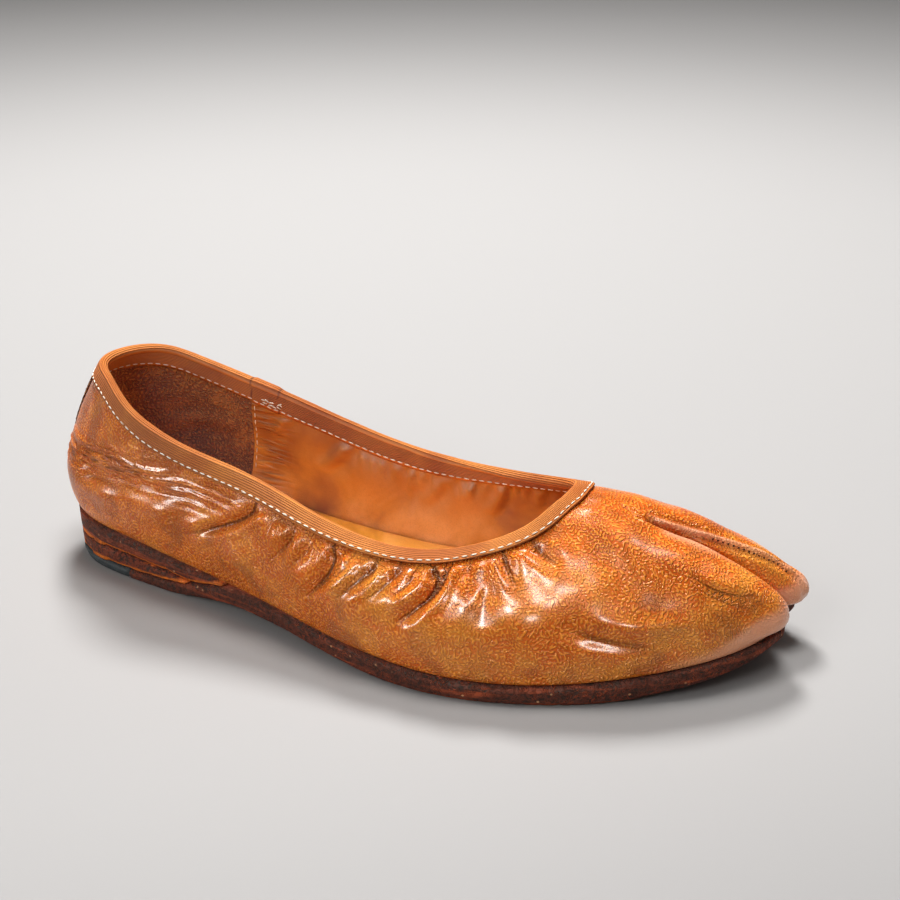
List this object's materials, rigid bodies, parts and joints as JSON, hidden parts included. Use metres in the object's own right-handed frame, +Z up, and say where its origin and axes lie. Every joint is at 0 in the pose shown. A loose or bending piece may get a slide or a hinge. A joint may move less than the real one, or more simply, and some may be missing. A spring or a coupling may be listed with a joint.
{
  "type": "flat shoe",
  "caption": "Low slip-on leather shoe for the right foot, with a split toe, a taped topline, a thin leather sole and a low stacked heel.",
  "frame": {"origin": "on the floor, under the middle of the whole shoe", "axes": "+X from heel to toe, +Y to the inner side of the foot, +Z up"},
  "size_m": [0.2518, 0.0884, 0.0686],
  "materials": {
    "upper_leather": "tan-orange glazed leather with a fine swirling grain, worn and creased",
    "binding_tape": "orange-tan ribbed tape, matt",
    "stay_leather": "dark brown worn leather strip, ragged edges",
    "insole_leather": "warm tan smooth leather",
    "sole_leather": "dark red-brown rough cut edge with fibres showing",
    "heel_rubber": "dark grey matt rubber"
  },
  "bodies": {
    "root": {"upper": "upper_leather", "topline_binding": "binding_tape", "back_stay": "stay_leather", "insole": "insole_leather", "outsole": "sole_leather", "upper_heel_lift": "sole_leather", "lower_heel_lift": "sole_leather", "heel_tip": "heel_rubber"}
  },
  "joints": []
}
